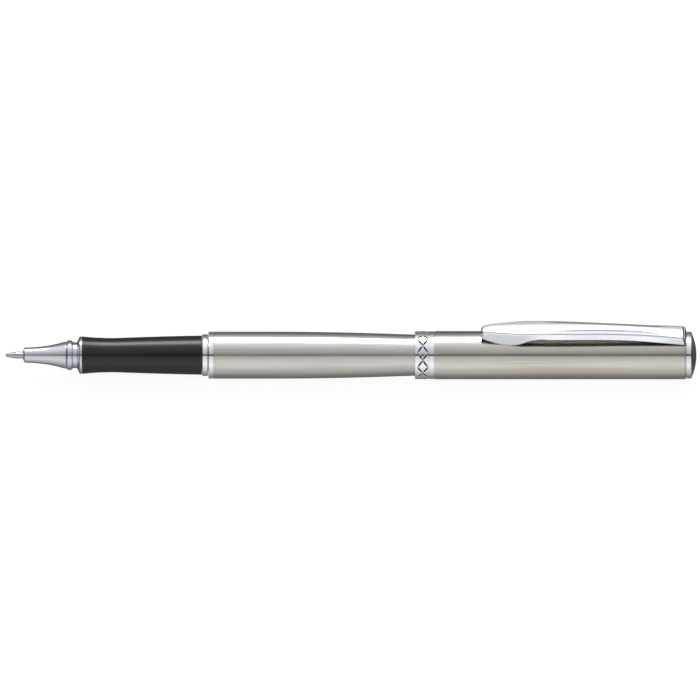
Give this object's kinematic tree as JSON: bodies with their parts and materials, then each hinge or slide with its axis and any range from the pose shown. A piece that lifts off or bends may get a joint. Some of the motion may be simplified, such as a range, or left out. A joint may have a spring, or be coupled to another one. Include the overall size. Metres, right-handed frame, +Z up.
{
  "type": "rollerball pen",
  "caption": "Capped metal rollerball pen with a brushed steel barrel, black grip, chrome trim, engraved cap band and sprung pocket clip, cap posted on the tail.",
  "frame": {"origin": "middle of the posted pen's length, below its axis on the surface that the cap lies on", "axes": "+X along the pen from the writing ball to the cap's end, +Z up through the clip, +Y across the pen"},
  "size_m": [0.1544, 0.0108, 0.0145],
  "materials": {
    "brushed_steel": "satin, brushed along the pen",
    "bright_chrome": "polished",
    "nose_chrome": "satin polished",
    "clip_chrome": "polished",
    "finial_chrome": "polished",
    "grip_black": "smooth satin black",
    "stainless_tip": "turned and polished",
    "carbide_ball": "ground",
    "brass_core": "machined",
    "spring_steel": "drawn wire",
    "seal_rubber": "matt",
    "white_plastic": "moulded",
    "clear_plastic": "translucent moulded",
    "ink": "wet black",
    "grease": "soft translucent",
    "clutch_plastic": "moulded",
    "liner_plastic": "moulded"
  },
  "bodies": {
    "barrel": {"barrel_shell": "brushed_steel", "barrel_ring": "bright_chrome", "thread_bush": "brass_core", "barrel_end_plug": "bright_chrome", "refill_spring": "spring_steel"},
    "seal": {"section_seal": "seal_rubber"},
    "section": {"nose_cone": "nose_chrome", "nose_collar": "nose_chrome", "grip_sleeve": "grip_black", "section_core": "brass_core", "section_ring": "bright_chrome"},
    "refill": {"refill_tip": "stainless_tip", "tip_holder": "white_plastic", "refill_tube": "clear_plastic", "ink_column": "ink", "ink_follower": "grease", "refill_tail_plug": "white_plastic"},
    "ball": {"writing_ball": "carbide_ball"},
    "clutch": {"cap_clutch_ring": "clutch_plastic"},
    "cap": {"cap_mouth_sleeve": "brass_core", "cap_band": "bright_chrome", "cap_band_ring": "bright_chrome", "cap_shell": "brushed_steel", "inner_cap": "liner_plastic", "cap_top_bush": "brass_core", "clip_washer": "bright_chrome", "finial": "finial_chrome"},
    "clip": {"clip": "clip_chrome"}
  },
  "joints": [
    {"name": "section_travel", "type": "slide", "parent": "barrel", "child": "seal", "axis": [-1, 0, 0], "range_m": [0, 0.005], "deforming": ["refill_spring"]},
    {"name": "section_unscrew", "type": "hinge", "parent": "seal", "child": "section", "pos_m": [-0.02725, 0, 0.0054], "axis": [-1, 0, 0], "range_deg": [0, 1800]},
    {"name": "refill_float", "type": "slide", "parent": "section", "child": "refill", "axis": [1, 0, 0], "range_m": [0, 0.0008], "stiffness_N_per_m": 250, "springref_m": -0.001, "deforming": ["refill_spring"]},
    {"name": "ball_roll", "type": "hinge", "parent": "refill", "child": "ball", "pos_m": [-0.0769, 0, 0.0054], "axis": [0, 1, 0], "continuous": true},
    {"name": "cap_pull", "type": "slide", "parent": "barrel", "child": "clutch", "axis": [1, 0, 0], "range_m": [0, 0.045]},
    {"name": "cap_spin", "type": "hinge", "parent": "clutch", "child": "cap", "pos_m": [0.02431, 0, 0.0054], "axis": [1, 0, 0], "continuous": true},
    {"name": "clip_flex", "type": "hinge", "parent": "cap", "child": "clip", "pos_m": [0.07421, 0, 0.0126], "axis": [0, 1, 0], "range_deg": [0, 3], "stiffness_Nm_per_rad": 1.2}
  ],
  "couplings": [
    {"joint": "section_travel", "follows": "section_unscrew", "m_per_rad": 0.00015915}
  ]
}
